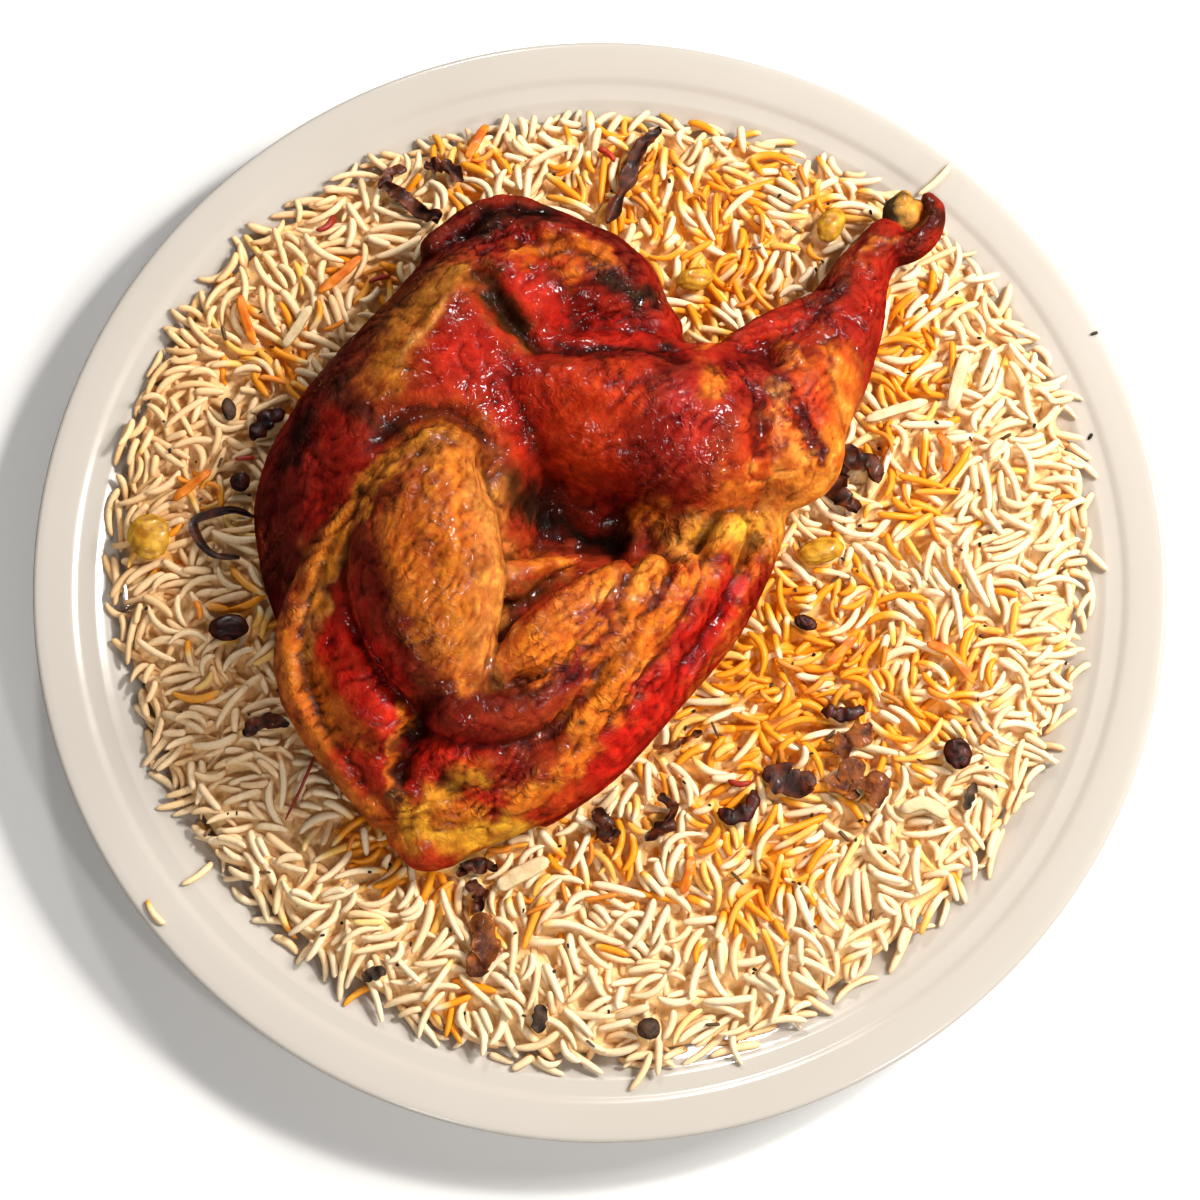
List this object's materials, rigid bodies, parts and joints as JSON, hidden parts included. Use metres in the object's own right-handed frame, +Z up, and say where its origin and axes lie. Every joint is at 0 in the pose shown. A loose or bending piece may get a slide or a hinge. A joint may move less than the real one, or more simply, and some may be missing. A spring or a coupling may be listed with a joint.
{
  "type": "chicken mandi",
  "caption": "Half roast chicken with folded wing and stretched leg on a wide bed of long-grain rice with fried onion, raisins, almond and carrot, on a round white plate.",
  "frame": {"origin": "middle of the plate, on the plane that its foot ring stands on", "axes": "+Z up out of the plate; -Y is the side nearest the diner; +X to the right as seen from there, where the leg points"},
  "size_m": [0.34, 0.34, 0.088],
  "materials": {
    "plate": "smooth glossy glaze, warm white",
    "rice": "moist boiled rice, slightly translucent",
    "chicken": "roast skin, wet glaze, dark red and amber with charred edges",
    "bone": "yellow-brown gristle",
    "onion": "dark fried onion, oily",
    "raisin": "dark wrinkled raisin, soft sheen",
    "golden_raisin": "plump golden raisin, soft sheen",
    "almond": "pale yellow blanched almond",
    "spice": "dry dark whole spice",
    "carrot": "moist orange carrot shred"
  },
  "bodies": {
    "root": {"almond_east": "almond", "almond_knee": "almond", "almond_south": "almond", "almond_southeast": "almond", "almond_west": "almond", "bark_south": "spice", "bark_southeast": "spice", "bark_southwest": "spice", "carrot_east_b": "carrot", "carrot_east_c": "carrot", "carrot_north_b": "carrot", "carrot_south": "carrot", "carrot_southeast": "carrot", "carrot_west_a": "carrot", "carrot_west_b": "carrot", "carrot_west_d": "carrot", "chicken": "chicken", "clove_west": "spice", "golden_raisin_east": "golden_raisin", "golden_raisin_north": "golden_raisin", "golden_raisin_northeast": "golden_raisin", "golden_raisin_west": "golden_raisin", "leg_bone": "bone", "onion_east_a": "onion", "onion_east_b": "onion", "onion_flake_amber": "onion", "onion_flake_dark": "onion", "onion_flake_top": "onion", "onion_north": "onion", "onion_northwest_a": "onion", "onion_northwest_b": "onion", "onion_northwest_c": "onion", "onion_ring_west": "onion", "onion_south_a": "onion", "onion_south_b": "onion", "onion_southeast": "onion", "onion_southwest": "onion", "onion_tail_a": "onion", "onion_tail_amber": "onion", "onion_tail_b": "onion", "peppercorn_south": "spice", "plate": "plate", "raisin_curl_east": "raisin", "raisin_curl_south": "raisin", "raisin_east": "raisin", "raisin_far_west": "raisin", "raisin_long_west": "raisin", "raisin_southeast": "raisin", "raisin_west": "raisin", "rice": "rice"}
  },
  "joints": []
}
